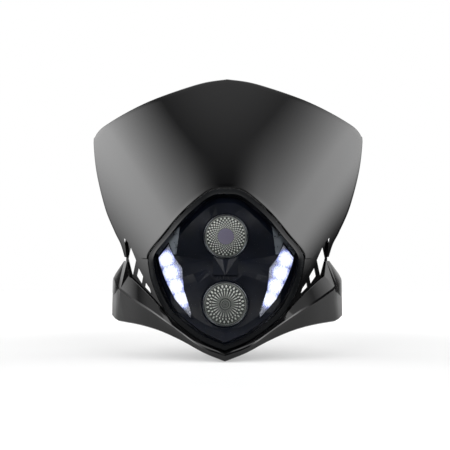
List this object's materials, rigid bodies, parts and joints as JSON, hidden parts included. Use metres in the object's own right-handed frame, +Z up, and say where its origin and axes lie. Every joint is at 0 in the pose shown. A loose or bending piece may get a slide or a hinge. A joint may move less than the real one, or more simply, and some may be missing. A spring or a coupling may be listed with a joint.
{
  "type": "motorcycle headlight mask",
  "caption": "Gloss black moulded mask with a tall shield and a winged cowl round a clear lamp with stacked round lights and bolt-shaped LED clusters.",
  "frame": {"origin": "midway between the four strap lugs, in the plane of their flat rear faces, where the fork legs pass", "axes": "+Z up, the mask faces -Y, +Y runs back towards the rider and +X is the mask's left as the rider sits, symmetric about X = 0"},
  "size_m": [0.3588, 0.1689, 0.3536],
  "materials": {
    "gloss_black_abs": "moulded gloss black ABS",
    "inner_black_abs": "moulded black ABS, satin to gloss",
    "matt_black_plastic": "matt black moulded plastic",
    "black_rubber": "soft black rubber",
    "clear_polycarbonate": "clear polished polycarbonate",
    "metallised_bright": "vacuum metallised reflector",
    "chrome_trim": "bright chrome ring",
    "satin_trim": "satin metallised trim plate",
    "pressed_glass": "pressed fluted glass",
    "bulb_glass": "clear bulb glass",
    "led_epoxy": "clear white LED body",
    "white_board": "white solder mask circuit board",
    "zinc_steel": "zinc plated steel"
  },
  "bodies": {
    "root": {"breather_cap": "matt_black_plastic", "lamp_bezel": "inner_black_abs", "lamp_housing": "matt_black_plastic", "lamp_lens": "clear_polycarbonate", "lamp_screw_lower_left": "zinc_steel", "lamp_screw_lower_right": "zinc_steel", "lamp_screw_upper_left": "zinc_steel", "lamp_screw_upper_right": "zinc_steel", "led_board_left": "white_board", "led_board_right": "white_board", "led_cover_left": "clear_polycarbonate", "led_cover_right": "clear_polycarbonate", "led_left_1": "led_epoxy", "led_left_2": "led_epoxy", "led_left_3": "led_epoxy", "led_left_4": "led_epoxy", "led_right_1": "led_epoxy", "led_right_2": "led_epoxy", "led_right_3": "led_epoxy", "led_right_4": "led_epoxy", "led_tray_left": "metallised_bright", "led_tray_right": "metallised_bright", "lens_gasket": "black_rubber", "louvre_panel_left": "inner_black_abs", "louvre_panel_right": "inner_black_abs", "lower_bulb": "bulb_glass", "lower_bulb_holder": "matt_black_plastic", "lower_cowl": "gloss_black_abs", "lower_light_glass": "pressed_glass", "lower_light_ring": "chrome_trim", "lower_reflector": "metallised_bright", "lower_rubber_boot": "black_rubber", "side_trim_left": "satin_trim", "side_trim_right": "satin_trim", "upper_bulb": "bulb_glass", "upper_bulb_holder": "matt_black_plastic", "upper_light_glass": "pressed_glass", "upper_light_ring": "chrome_trim", "upper_reflector": "metallised_bright", "upper_rubber_boot": "black_rubber", "upper_shield": "gloss_black_abs", "wire_gland": "matt_black_plastic"}
  },
  "joints": []
}
